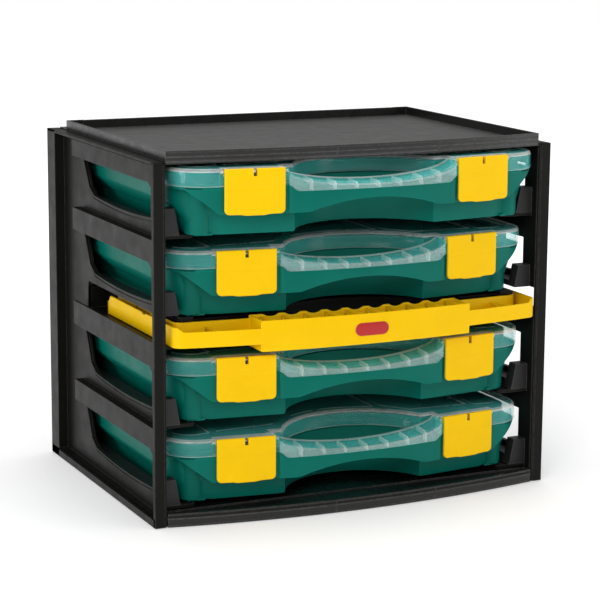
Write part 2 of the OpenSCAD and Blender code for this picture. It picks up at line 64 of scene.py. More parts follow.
class Nodes:
    """Short way to add and join shader nodes of one material."""

    def __init__(self, name):
        self.material = bpy.data.materials.new(name)
        self.material.use_nodes = True
        self.tree = self.material.node_tree
        self.tree.nodes.clear()
        self.out = self.tree.nodes.new("ShaderNodeOutputMaterial")
        self.place = self.add("TexCoord").outputs["Object"]

    def add(self, kind, **values):
        node = self.tree.nodes.new("ShaderNode" + kind)
        for key, value in values.items():
            setattr(node, key, value)
        return node

    def join(self, source, target):
        self.tree.links.new(source, target)

    def noise(self, scale, detail=2.0, roughness=0.5):
        node = self.add("TexNoise")
        node.inputs["Scale"].default_value = scale
        node.inputs["Detail"].default_value = detail
        node.inputs["Roughness"].default_value = roughness
        self.join(self.place, node.inputs["Vector"])
        return node.outputs["Fac"]

    def ramp(self, source, low, high, start=0.3, end=0.7):
        """Spreads source from start to end over the range low to high."""
        node = self.add("MapRange")
        for name, value in (("From Min", start), ("From Max", end), ("To Min", low), ("To Max", high)):
            node.inputs[name].default_value = value
        self.join(source, node.inputs["Value"])
        return node.outputs["Result"]

    def blend(self, source, first, second):
        """Mixes two colours by source; each is a colour or a socket."""
        node = self.add("Mix", data_type="RGBA")
        self.join(source, node.inputs["Factor"])
        for socket, colour in ((node.inputs[6], first), (node.inputs[7], second)):
            if isinstance(colour, tuple):
                socket.default_value = (*colour, 1.0)
            else:
                self.join(colour, socket)
        return node.outputs[2]

    def edge(self, radius):
        """1 on flat faces, less where the surface turns within radius."""
        bevel = self.add("Bevel", samples=4)
        bevel.inputs["Radius"].default_value = radius
        dot = self.add("VectorMath", operation="DOT_PRODUCT")
        self.join(bevel.outputs["Normal"], dot.inputs[0])
        self.join(self.add("NewGeometry").outputs["Normal"], dot.inputs[1])
        return dot.outputs["Value"]

    def bump(self, height, distance, strength=1.0, normal=None):
        node = self.add("Bump")
        node.inputs["Distance"].default_value = distance
        node.inputs["Strength"].default_value = strength
        self.join(height, node.inputs["Height"])
        if normal is not None:
            self.join(normal, node.inputs["Normal"])
        return node.outputs["Normal"]

    def principled(self, **inputs):
        node = self.add("BsdfPrincipled")
        for key, value in inputs.items():
            socket = node.inputs[key.replace("_", " ")]
            if isinstance(value, bpy.types.NodeSocket):
                self.join(value, socket)
            else:
                socket.default_value = value
        return node


def moulded_plastic(name, colour, edge_highlight_colour, roughness, grain, grain_depth, shine=0.5, spread=0.12):
    """Opaque moulded plastic: fine grain, faint flow clouds, and a painted highlight that makes edges paler,
    broken up by fine noise.
    """
    n = Nodes(name)
    cloud = n.ramp(n.noise(28, 4, 0.6), 0, 1)
    darker = tuple(c * (1 - spread) for c in colour)
    body = n.blend(cloud, darker, colour)
    # Painted highlight: faces that turn within 0.9 mm are blended towards the paler edge colour.
    painted_edge_highlight_mask = n.ramp(n.edge(0.9 * MM), 1, 0, 0.86, 0.995)
    painted_edge_highlight = n.add("Math", operation="MULTIPLY")
    n.join(painted_edge_highlight_mask, painted_edge_highlight.inputs[0])
    n.join(n.ramp(n.noise(220, 3), 0.25, 0.9), painted_edge_highlight.inputs[1])
    rough = n.ramp(n.noise(60, 3), roughness - 0.05, roughness + 0.06)
    fine = n.bump(n.noise(grain, 2, 0.6), grain_depth)
    waves = n.bump(n.noise(9, 1), 0.5 * MM, 0.35, fine)
    surface = n.principled(
        Base_Color=n.blend(painted_edge_highlight.outputs[0], body, edge_highlight_colour), Roughness=rough, Normal=waves,
        Specular_IOR_Level=shine)
    n.join(surface.outputs[0], n.out.inputs["Surface"])
    return n.material


def clear_plastic(name, tint_and_painted_light, alpha, rim, roughness):
    """Thin clear plastic: mostly see-through, slightly milky, with strong reflections; its colour is partly
    painted light.
    """
    n = Nodes(name)
    facing = n.add("LayerWeight")
    facing.inputs["Blend"].default_value = 0.35
    solid = n.ramp(facing.outputs["Facing"], alpha, alpha + rim, 0, 1)
    haze = n.add("Math", operation="MULTIPLY")
    n.join(solid, haze.inputs[0])
    n.join(n.ramp(n.noise(35, 4, 0.6), 0.8, 1.2), haze.inputs[1])
    rough = n.ramp(n.noise(80, 3), roughness * 0.7, roughness * 1.3)
    normal = n.bump(n.noise(16, 2), 0.6 * MM, 0.5)
    surface = n.principled(
        Base_Color=(*tint_and_painted_light, 1.0), Roughness=rough, Normal=normal, Alpha=haze.outputs[0], IOR=1.5,
        Specular_IOR_Level=0.9)
    n.join(surface.outputs[0], n.out.inputs["Surface"])
    return n.material


def drawn_steel(name):
    n = Nodes(name)
    rough = n.ramp(n.noise(400, 3), 0.25, 0.42)
    surface = n.principled(
        Base_Color=n.blend(n.noise(90, 3), (0.42, 0.42, 0.44), (0.6, 0.6, 0.62)),
        Metallic=1.0, Roughness=rough)
    n.join(surface.outputs[0], n.out.inputs["Surface"])
    return n.material


def studio_floor(name):
    """White floor that glows more away from the middle, so it stays white up to the horizon."""
    n = Nodes(name)
    distance = n.add("VectorMath", operation="LENGTH")
    n.join(n.place, distance.inputs[0])
    surface = n.principled(
        Base_Color=n.blend(n.noise(3, 2), (0.84, 0.84, 0.84), (0.88, 0.88, 0.88)), Roughness=0.6,
        Emission_Color=(1, 1, 1, 1), Specular_IOR_Level=0.2,
        Emission_Strength=n.ramp(distance.outputs["Value"], 0.22, 0.72, 0.5, 1.7))
    n.join(surface.outputs[0], n.out.inputs["Surface"])
    return n.material


BLACK = moulded_plastic(
    "rack_black", (0.0065, 0.0062, 0.0055), (0.075, 0.073, 0.067), 0.40, 900, 0.03 * MM, 0.10)
# Lighter copy of the black for the top tray's floor: painted light that stands for the bright reflection the
# floor catches.
TRAY_FLOOR_PAINTED_LIT_BLACK = moulded_plastic(
    "rack_black_grained_painted_lit", (0.036, 0.035, 0.034), (0.13, 0.128, 0.124), 0.46, 700, 0.05 * MM, 0.42)
# Lighter copy of the black for the rail towers and low walls of the side panels: painted light, so that they
# look lit grey.
GUIDES_PAINTED_LIT_BLACK = moulded_plastic(
    "rack_black_guides_painted_lit", (0.020, 0.0195, 0.0205), (0.16, 0.157, 0.153), 0.45, 900, 0.03 * MM, 0.25)
BLACK_GLOSS = moulded_plastic(
    "rack_black_gloss", (0.008, 0.0078, 0.0074), (0.10, 0.098, 0.094), 0.27, 500, 0.02 * MM, 0.40)
GREEN = moulded_plastic("case_green", (0.0, 0.135, 0.102), (0.004, 0.26, 0.21), 0.42, 1300, 0.05 * MM, 0.10)
YELLOW = moulded_plastic(
    "latch_yellow", (0.86, 0.52, 0.0), (1.0, 0.66, 0.02), 0.42, 900, 0.03 * MM, 0.10, 0.06)
RED = moulded_plastic("badge_red", (0.44, 0.018, 0.018), (0.6, 0.3, 0.3), 0.35, 900, 0.02 * MM, 0.3)
# The lid's blue-green colour is painted reflection: it stands for the green of the base that the clear
# plastic picks up.
CLEAR = clear_plastic("lid_clear", (0.16, 0.84, 0.79), 0.12, 0.20, 0.07)
# Milky white for the lid's edges; on the sides of the top's panels and on the bar's bands and ribs it is also
# a painted highlight.
CLEAR_EDGE = clear_plastic("lid_edge", (0.90, 0.94, 0.92), 0.20, 0.36, 0.10)
STEEL = drawn_steel("pin_steel")
SLOT_OF = {s["node"]: s["material_slot"] for s in frame["record"]["subparts"]}
LOOKS = {
    "rack_black": BLACK, "case_green": GREEN, "latch_yellow": YELLOW, "handle_yellow": YELLOW,
    "badge_red": RED, "lid_clear": CLEAR, "pin_steel": STEEL}


# ---------------------------------------------------------------- shells
# Shapes are closed shells in millimetres. Several shells in one piece may overlap.

ARC = 10    # steps of a rounded corner


def span(a, b, steps):
    return [a + (b - a) * i / steps for i in range(steps + 1)]


def arc_points(centre, radius, start, end, steps=ARC):
    """Points along an arc; angles in degrees."""
    return [(centre[0] + radius * math.cos(math.radians(t)), centre[1] + radius * math.sin(math.radians(t)))
            for t in span(start, end, steps)]


def sag_radius(half, sag):
    return (half * half + sag * sag) / (2 * sag)


class Shape:
    """Collects closed shells and turns them into one piece."""

    def __init__(self, matrix=Matrix()):
        self.bm = bmesh.new()
        self.matrix = matrix
        self.look = 0       # material of the faces made next

    def vert(self, x, y, z):
        return self.bm.verts.new((self.matrix @ Vector((x, y, z))) * MM)

    def prism(self, outline, axis, low, high, holes=()):
        """Extrudes an outline, with holes if given, from low to high along axis."""
        at = {"x": lambda u, v, w: (w, u, v), "y": lambda u, v, w: (u, w, v),
              "z": lambda u, v, w: (u, v, w)}[axis]
        levels = []
        for w in (low, high):
            levels.append([[self.vert(*at(u, v, w)) for u, v in loop] for loop in (outline, *holes)])
        for bottom, top in zip(*levels):
            self.skin(bottom, top)
        for loops in levels:
            self.fill(loops)

    def skin(self, low, high, milky_and_highlight=()):
        for i in range(len(low)):
            face = self.bm.faces.new((low[i - 1], low[i], high[i], high[i - 1]))
            face.material_index = 1 if i in milky_and_highlight else self.look

    def fill(self, loops):
        """Closes the area inside the first loop and outside the others."""
        if len(loops) == 1:
            self.bm.faces.new(loops[0]).material_index = self.look
            return
        edges = [self.bm.edges.get((loop[i - 1], loop[i])) for loop in loops for i in range(len(loop))]
        for item in bmesh.ops.triangle_fill(self.bm, edges=edges, use_beauty=True)["geom"]:
            if isinstance(item, bmesh.types.BMFace):
                item.material_index = self.look

    def block(self, low, high):
        (x0, y0, z0), (x1, y1, z1) = low, high
        self.prism([(x0, y0), (x1, y0), (x1, y1), (x0, y1)], "z", z0, z1)

    def loft(self, rings, milky_and_highlight=()):
        """Skins rings of (x, y, z) points; the bands that end at the listed points get the second material,
        which on the lid is milky white with a painted highlight.
        """
        loops = [[self.vert(*p) for p in ring] for ring in rings]
        for low, high in zip(loops, loops[1:]):
            self.skin(low, high, milky_and_highlight)
        self.bm.faces.new(loops[0])
        self.bm.faces.new(loops[-1])
        return loops

    def wall(self, path, thick, low_at, top_at, soft=0.7):
        """Upright wall on the left of an open path, with a rounded top edge."""
        rings = []
        for i, (x, y) in enumerate(path):
            ax, ay = path[max(0, i - 1)]
            bx, by = path[min(len(path) - 1, i + 1)]
            length = math.hypot(bx - ax, by - ay)
            nx, ny = -(by - ay) / length, (bx - ax) / length
            low, top = low_at(x, y), top_at(x, y)
            section = [(0, low + 0.5 * soft), (0, top - soft), (0.3 * soft, top - 0.3 * soft), (soft, top),
                       (thick - soft, top), (thick - 0.3 * soft, top - 0.3 * soft), (thick, top - soft),
                       (thick, low + 0.5 * soft), (thick - 0.5 * soft, low), (0.5 * soft, low)]
            rings.append([(x + nx * d, y + ny * d, z) for d, z in section])
        self.loft(rings)

    def piece(self, node, body, slot, round_width=0.0, second_material=None, look=None):
        """Makes the collected shells one piece that stands for a CAD node."""
        bmesh.ops.recalc_face_normals(self.bm, faces=self.bm.faces)
        for face in self.bm.faces:
            face.smooth = True
        mesh = bpy.data.meshes.new(node + "_moulded")
        self.bm.to_mesh(mesh)
        self.bm.free()
        mesh.materials.append(look or LOOKS[slot])
        if second_material:
            mesh.materials.append(second_material)
        obj = bpy.data.objects.new(mesh.name, mesh)
        bpy.context.scene.collection.objects.link(obj)
        if round_width:
            bevel = obj.modifiers.new("round", "BEVEL")
            bevel.width = round_width * MM
            bevel.segments = 2
            bevel.limit_method = "ANGLE"
            bevel.angle_limit = math.radians(28)
            bevel.use_clamp_overlap = False
            bevel.harden_normals = True
        else:
            mesh.set_sharp_from_angle(angle=math.radians(38))
        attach(obj, body)
        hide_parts(node)
        return obj


# ---------------------------------------------------------------- rack

HALF_W = 202.0
FRONT, BACK = -147.0, 147.0
RACK_H = 332.0
WEB_IN, WEB_OUT = 189.8, 192.3
BAR_OUT = 201.0
WALL = 2.5
RAIL_Z = (264.8, 189.3, 91.8, 16.3)
BAR_Z = ((313, 329), (241, 262.5), (147, 170.5), (71, 91.4))
NICHE_FLOOR, NICHE_HIGH, NICHE_BACK = 165.7, 192.0, 55.0


def window_outline(rail, top, grow):
    """One side window in (Y, Z): slanted back edge, chamfered corner, sagging lower edge."""
    low = rail + 15 - grow
    front = -121 - grow
    back_low, back_high = 44 + grow, 58 + grow
    sag = 3 + 0.2 * grow
    half = (back_low - 8 - front) / 2
    middle = front + half
    radius = sag_radius(half, sag)
    low_at = lambda y: low - sag + radius - math.sqrt(radius ** 2 - (y - middle) ** 2)
    chamfer = back_low - 14
    points = [(y, low_at(y)) for y in span(front, chamfer, 14)]
    return points + [(back_low, low + 7), (back_high, top), (front, top)]


def side_panel(name, flip):
    s = Shape(Matrix.Diagonal((flip, 1, 1, 1)))
    post_back = FRONT + 5
    outline = [(-144, 0), (126, 0), (126, RACK_H), (-144, RACK_H), (-144, NICHE_HIGH),
               (NICHE_BACK, NICHE_HIGH),
               (NICHE_BACK, NICHE_FLOOR), (-144, NICHE_FLOOR)]
    tops = [low - 3 for low, high in BAR_Z]
    s.prism(outline, "x", WEB_IN, WEB_OUT, [window_outline(r, t, 0) for r, t in zip(RAIL_Z, tops)])
    for i, (rail, top) in enumerate(zip(RAIL_Z, tops)):
        # raised lip round the window, with a second thin line outside it
        s.prism(window_outline(rail, top + WALL, 1.6), "x", WEB_OUT - 0.5, WEB_OUT + 2.2,
                [window_outline(rail, top, 0)])
        s.prism(window_outline(rail, top + 4.2, 4.4), "x", WEB_OUT - 0.5, WEB_OUT + 0.9,
                [window_outline(rail, top + 3.4, 3.4)])
        # outer bar, an open channel
        low, high = BAR_Z[i]
        section = [(WEB_IN + 1, low), (BAR_OUT, low), (BAR_OUT, high)]
        if i == 2:
            section += [(BAR_OUT - WALL, high), (BAR_OUT - WALL, low + WALL), (WEB_IN + 1, low + WALL)]
        else:
            section += [(WEB_IN + 1, high), (WEB_IN + 1, high - WALL), (BAR_OUT - WALL, high - WALL),
                        (BAR_OUT - WALL, low + WALL), (WEB_IN + 1, low + WALL)]
        s.prism(section, "y", post_back - 1, 75)
        s.prism([(post_back - 1, low + 1), (post_back - 1, low - 7), (post_back + 12, low),
                 (post_back + 12, low + 1)],
                "x", BAR_OUT - WALL, BAR_OUT - 0.05)
        # rail: ledge with a rounded front corner, a tower and a low wall
        ledge_in = [(190.8, 122), (158, 122)] + arc_points((162, -131), 4, 180, 270, 6)
        if i == 1:
            ledge_in += [(171.5, -135), (171.5, NICHE_BACK), (190.8, NICHE_BACK)]
        else:
            ledge_in += [(190.8, -135)]
        s.prism(ledge_in, "z", rail - 3.5, rail)
        foot = NICHE_HIGH if i == 1 else rail - 1
        foot_x = 172.5 + 0.192 * (foot - rail + 1)
        # The towers and low walls get the second material, a lighter black painted to look lit.
        s.look = 1
        for z_top, y0, y1, z_foot in ((24, -135, -122, foot), (8, -123, 122, foot if i == 1 else rail - 1)):
            s.prism([(foot_x, z_foot), (172.5 + 0.192 * (z_top + 1), rail + z_top), (190.8, rail + z_top),
                     (190.8, z_foot)], "y", y0, y1)
        if i == 1:
            s.prism([(172.5, rail - 1), (173.3, rail + 3.2), (190.8, rail + 3.2), (190.8, rail - 1)], "y",
                    NICHE_BACK, 122)
        s.look = 0
    # niche of the handle's arm
    s.block((169.5, -127, NICHE_FLOOR - WALL), (171.5, NICHE_BACK, 188.3))
    s.block((169.5, NICHE_BACK, NICHE_FLOOR - WALL), (WEB_OUT, NICHE_BACK + 2, 188.3))
    s.prism([(169.5, NICHE_FLOOR - WALL), (WEB_IN, NICHE_FLOOR - WALL), (BAR_OUT - 0.1, BAR_Z[2][1] - WALL),
             (BAR_OUT - 0.1, BAR_Z[2][1]), (WEB_IN, NICHE_FLOOR), (169.5, NICHE_FLOOR)],
            "y", post_back, NICHE_BACK + 2)
    # front post, with a shallow step on its inner edge
    s.block((190.5, FRONT + 0.6, 0), (HALF_W, post_back, RACK_H))
    s.block((192.6, FRONT, 0), (HALF_W, FRONT + 2, RACK_H))
    # back post, a channel open to the back
    s.prism([(WEB_IN, 124), (HALF_W, 124), (HALF_W, BACK), (HALF_W - WALL, BACK), (HALF_W - WALL, 126.5),
             (WEB_OUT, 126.5), (WEB_OUT, BACK), (WEB_IN, BACK)], "z", 0, RACK_H)
    s.block((WEB_IN, 124, 0), (HALF_W, BACK, WALL))
    # borders
    s.block((WEB_IN, FRONT + 0.6, RACK_H - WALL), (HALF_W, BACK, RACK_H))
    s.block((HALF_W - WALL, FRONT + 0.6, 0), (HALF_W, BACK, 9))
    s.block((WEB_IN, FRONT + 0.6, 6.5), (HALF_W, BACK, 9))
    return s.piece(name, "rack", "rack_black", 0.45, GUIDES_PAINTED_LIT_BLACK)


def bulged(half, y_side, bulge, y_back):
    """Plan whose front edge is an arc that bulges forward."""
    radius = sag_radius(half, bulge)
    front = [(x, y_side - bulge + radius - math.sqrt(radius ** 2 - x * x)) for x in span(-half, half, 40)]
    return front + [(half, y_back), (-half, y_back)]


def front_strip(half, y_side, bulge, out, depth):
    """Plan of a thin strip along a bulging front edge."""
    radius = sag_radius(half, bulge)
    arc = [(x, y_side - bulge + radius - math.sqrt(radius ** 2 - x * x)) for x in span(-half, half, 40)]
    return [(x, y - out) for x, y in arc] + [(x, y + depth) for x, y in reversed(arc)]


def top_tray():
    s = Shape()
    half, y_side, bulge = 189.7, -145, 15
    low, floor_z, rim_z = 329.5, 333, 341.5
    # The tray's floor gets the second material, the lighter black that paints its bright reflection.
    s.look = 1
    s.prism(bulged(half, y_side, bulge, 143.9), "z", low, floor_z)
    s.look = 0
    notch = half - 18
    rim = bulged(half, y_side, bulge, 123.5)[:-2]
    rim += [(half, 123.5), (notch, 123.5), (notch, 121.5), (-notch, 121.5), (-notch, 123.5), (-half, 123.5)]
    inner = bulged(half - WALL, y_side + WALL, bulge, 121)[:-2]
    inner += [(half - WALL, 121), (notch + 2, 121), (notch + 2, 118.5), (-notch - 2, 118.5),
              (-notch - 2, 121),
              (-half + WALL, 121)]
    s.prism(rim, "z", floor_z - 1, rim_z, [inner])
    # fine ridges along the front
    for z0, z1, out in ((329.5, 331.0, 0.5), (339.9, 341.5, 0.7), (335.6, 336.2, 0.35)):
        s.prism(front_strip(half - 0.3, y_side, bulge, out, 1.5), "z", z0, z1)
    for x in (-30, 75):
        y = y_side - bulge + x * x / (2 * sag_radius(half, bulge))
        s.block((x, y - 0.45, 330.2), (x + 1.2, y + 2, 341.3))
    return s.piece("top_tray", "rack", "rack_black", 0.45, TRAY_FLOOR_PAINTED_LIT_BLACK, BLACK_GLOSS)


def bottom_panel():
    s = Shape()
    half, bulge, y_back = 189.7, 19, 143.9
    s.prism(bulged(half, FRONT, bulge, y_back), "z", 8, 11)
    s.prism(bulged(half, FRONT, bulge, y_back), "z", 0, 11,
            [bulged(half - WALL, FRONT + WALL, bulge, y_back - WALL)])
    s.prism(bulged(half, FRONT, bulge, FRONT + 10), "z", 10, 12.5,
            [bulged(half - WALL, FRONT + WALL, bulge, FRONT + 9.5)])
    for z0, z1, out in ((0, 1.3, 0.6), (11.0, 12.5, 0.6), (7.2, 7.8, 0.35)):
        s.prism(front_strip(half - 0.3, FRONT, bulge, out, 1.5), "z", z0, z1)
    for x in (-30, 75):
        y = FRONT - bulge + x * x / (2 * sag_radius(half, bulge))
        s.block((x, y - 0.5, 0.4), (x + 1.2, y + 2, 12.3))
    s.block((-4, FRONT, 0), (4, y_back - 1, 10))
    return s.piece("bottom_panel", "rack", "rack_black", 0.4, None, BLACK_GLOSS)


def mid_shelf():
    s = Shape()
    half, front, back_y, bite, bite_y = 169.3, -125, 143.9, 121, -206
    low, high = 162, 185.5

    def plan(inset):
        radius = bite + inset
        x_cut = math.sqrt(radius ** 2 - (front + inset - bite_y) ** 2)
        angle = math.degrees(math.asin((front + inset - bite_y) / radius))
        curve = arc_points((0, bite_y), radius, 180 - angle, angle, 32)
        return ([(-half + inset, front + inset), (-x_cut, front + inset)] + curve[1:-1]
                + [(x_cut, front + inset), (half - inset, front + inset), (half - inset, back_y - inset),
                   (-half + inset, back_y - inset)])

    s.prism(plan(0), "z", high - WALL, high)
    s.prism(plan(0), "z", low, high - 1, [plan(WALL)])
    return s.piece("mid_shelf", "rack", "rack_black", 0.5)


# ---------------------------------------------------------------- cases

CASE_HALF, CASE_BACK, CASE_H = 184.0, 136.0, 61.0
CASE_Z = [z + 0.3 for z in RAIL_Z]
CASE_Y = (-18, 0, 0, 0)
LATCH_X, LATCH_Y, LATCH_TURN = 115.0, -151.5, math.radians(7)
LATCH_W = 56.0
BAR_HALF, BAR_R, BAR_CY, BAR_DEPTH = 84.0, 510.0, 344.0, 22.0
HOLE_R, HOLE_CY = 78.2, -170.2
BITE_R, BITE_CY = 76.0, -171.0
LID_LOW, BAR_LID_LOW = 45.0, 39.5
SEAM = LID_LOW - 0.3
BAR_SEAM = BAR_LID_LOW - 0.3


def inset(points, distance):
    """Moves a closed outline inwards, with mitred corners; its points run anticlockwise."""
    moved = []
    count = len(points)
    for i, (x, y) in enumerate(points):
        ax, ay = x - points[i - 1][0], y - points[i - 1][1]
        bx, by = points[(i + 1) % count][0] - x, points[(i + 1) % count][1] - y
        la, lb = math.hypot(ax, ay), math.hypot(bx, by)
        n1, n2 = (-ay / la, ax / la), (-by / lb, bx / lb)
        share = distance / max(0.3, 1 + n1[0] * n2[0] + n1[1] * n2[1])
        moved.append((x + share * (n1[0] + n2[0]), y + share * (n1[1] + n2[1])))
    return moved


def mirrored(half):
    """Closes the right half of an outline, which runs from the front centre to the back centre."""
    return half + [(-x, y) for x, y in reversed(half) if abs(x) > 1e-6]


def bar_y(x, radius):
    return BAR_CY - math.sqrt(radius ** 2 - x * x)


def front_line(x):
    return LATCH_Y + (x - LATCH_X) * math.tan(LATCH_TURN)


def latch_point(x, y):
    """A point of the right latch's own frame, seen from above."""
    c, s = math.cos(LATCH_TURN), math.sin(LATCH_TURN)
    return (LATCH_X + c * x - s * y, LATCH_Y + s * x + c * y)


def corner_and_side(half, front_radius, back_radius):
    """Right side of a case: front corner, flank and back corner, up to the middle of the back."""
    turn = math.degrees(LATCH_TURN)
    x = half - front_radius
    y = front_line(x) + front_radius / math.cos(LATCH_TURN)
    points = arc_points((x, y), front_radius, turn - 90, 0, 12)
    points += arc_points((half - back_radius, CASE_BACK - back_radius), back_radius, 0, 90, 8)
    return points + [(0, CASE_BACK)]


def hole_edge():
    """Right half of the finger hole's edge, from the middle of its back to its end at the bar."""
    end = math.degrees(math.asin((-138.2 - HOLE_CY) / HOLE_R))
    return arc_points((0, HOLE_CY), HOLE_R, 90, end, 22)


def lid_outline(pocket=6.8, side=BAR_HALF + 0.6):
    """Outline of the lid round the finger hole and the latch pockets, without the bar."""
    half = hole_edge() + [(side, bar_y(side, 487.5))]
    if pocket:
        reach = LATCH_W / 2 + 0.4
        half += [latch_point(-reach - 2.1, pocket), latch_point(reach, pocket), latch_point(reach, 0)]
    else:
        half += [(side, front_line(side))]
    half += corner_and_side(CASE_HALF, 34, 18)
    return mirrored(half)


def lid_panels():
    """Outlines of the shallow panels in the lid's top, right half and middle."""
    ridge = HOLE_R + 10
    start = math.degrees(math.acos(44.5 / ridge))
    middle_front = [(-44.5, -8)] + arc_points((0, HOLE_CY), ridge, 180 - start, start, 12) + [(44.5, -8)]
    side_front = [(51.5, -8), (51.5, -90), (72, -116), (131.5, -119), (131.5, -8)]
    corner_front = [(138.5, -8), (138.5, -122), (150, -124)]
    corner_front += arc_points((150, -104), 21, -75, 0, 6) + [(171, -8)]
    back = [[(x0, 122), (x0, -1), (x1, -1), (x1, 122)] for x0, x1 in ((51.5, 131.5), (138.5, 171))]
    right = [side_front, corner_front, *back]
    left = [[(-x, y) for x, y in reversed(p)] for p in right]
    return right + left + [middle_front, [(-44.5, 122), (-44.5, -1), (44.5, -1), (44.5, 122)]]


def bar_top(x):
    """Height of the clear bar's top, which dips towards the middle."""
    return 45.6 + 13.4 * (1 - math.sqrt(max(0.0, 1 - (x / 84.5) ** 2)))


def smooth(t):
    t = min(1.0, max(0.0, t))
    return t * t * (3 - 2 * t)


def seam_height(x):
    """Height of the seam between base and lid along the front."""
    return BAR_SEAM + (SEAM - BAR_SEAM) * smooth((abs(x) - 76) / 8)


def case_lid(place):
    s = Shape(place)
    outline = lid_outline()
    profile = [(3.6, 58.6), (2.2, 57.6), (2.0, LID_LOW + 0.4), (1.7, LID_LOW), (0.3, LID_LOW),
               (0, LID_LOW + 0.4),
               (0, 57.8), (0.35, 59.3), (1.2, 60.5), (2.6, CASE_H)]
    loops = [[s.vert(x, y, z) for x, y in inset(outline, d)] for d, z in profile]
    for i, (low, high) in enumerate(zip(loops, loops[1:])):
        s.look = 0 if i in (1, 5) else 1
        s.skin(low, high)
    s.look = 0
    s.fill(loops[:1])
    # top with recessed panels
    top = [loops[-1]]
    for panel in lid_panels():
        rim = [s.vert(x, y, CASE_H) for x, y in panel]
        sunk = [s.vert(x, y, CASE_H - 1.1) for x, y in inset(panel, 1.0)]
        # Panel sides in the milky colour, as a painted highlight line.
        s.look = 1
        s.skin(rim, sunk)
        s.look = 0
        s.fill([sunk])
        top.append(rim)
    s.fill(top)
    lid_bar(s)
    for side in (-1, 1):
        ear = [latch_point(x, y) for x, y in ((-31.7, 0.2), (-28.4, 0.2), (-28.4, 7.5), (-31.7, 7.5))]
        s.prism([(side * x, y) for x, y in ear], "z", LID_LOW, 59.8)
    for i in (1, 3, 5):
        knuckle(s, i, 1.4)
    return s


def lid_bar(s):
    """Clear upper half of the handle bar: a curved channel with cross ribs."""
    back_r = BAR_R - BAR_DEPTH
    rings = []
    for x in span(-BAR_HALF, BAR_HALF, 56):
        top, low = bar_top(x), seam_height(x) + 0.3
        section = [
            (BAR_R, low), (BAR_R, top - 3.4), (BAR_R - 0.5, top - 1.8), (BAR_R - 1.8, top - 0.5),
            (BAR_R - 4, top), (back_r + 4.5, top + 0.5), (back_r + 2.6, top + 1.5), (back_r + 0.9, top + 1.5),
            (back_r, top + 0.5), (back_r, low), (back_r + 1.6, low), (back_r + 1.8, top - 1.6),
            (BAR_R - 4.4, top - 2.0), (BAR_R - 2.2, top - 3.8), (BAR_R - 2.0, low)]
        rings.append([(x, bar_y(x, r), z) for r, z in section])
    # The listed bands along the bar get the milky colour, here a painted highlight.
    s.loft(rings, (0, 2, 6, 8, 14))
    # Ribs in the milky colour, partly a painted highlight.
    s.look = 1
    for x in (-63, -41, -20, 2, 24, 46, 66):
        top, low = bar_top(x), seam_height(x) + 0.3
        rib = [(BAR_R - 1, low + 0.2), (BAR_R - 1, top - 3), (BAR_R - 3.6, top - 0.6),
               (back_r + 2, top + 0.3),
               (back_r + 2, top - 4), (BAR_R - 7, top - 5), (BAR_R - 7, low + 0.2)]
        s.prism([(bar_y(x, r), z) for r, z in rib], "x", x - 0.55, x + 0.55)
    s.look = 0


def knuckle(s, i, bracket):
    """Hinge knuckle i of 7 at the back, with its bracket at the given height above the rod."""
    x = (i - 3) * 44
    s.prism(arc_points((139.6, 47), 3.4, 0, 345, 23), "x", x - 12, x + 12)
    s.block((x - 12, 134.5, 47 + bracket), (x + 12, 139.6, 47 + bracket + 2))


def box_ring(z, half, back_in, corner, edge):
    """Ring of the open box at height z; edge is how far its front and bite stand in."""
    radius = BITE_R + edge
    front = -141 + edge
    turn = LATCH_TURN
    end = math.degrees(math.asin((front - BITE_CY) / radius))
    points = arc_points((0, BITE_CY), radius, 90, end, 18)
    line = lambda x: front + max(0, x - 78) * math.tan(turn)
    groove = 2.2 * (1 - smooth((z - 12) / 22))
    points += [(78, front)]
    points += [(x, line(x) + groove * d) for x, d in ((100, 0), (141, 0), (145, 1), (149, 1), (152.5, 0))]
    x = half - corner
    y = line(x) + corner / math.cos(turn)
    points += arc_points((x, y), corner, math.degrees(turn) - 90, 0, 9)
    rear = 16 - edge
    points += arc_points((half - rear, CASE_BACK - back_in - rear), rear, 0, 90, 6)
    points += [(0, CASE_BACK - back_in)]
    return [(px, py, z) for px, py in mirrored(points)]


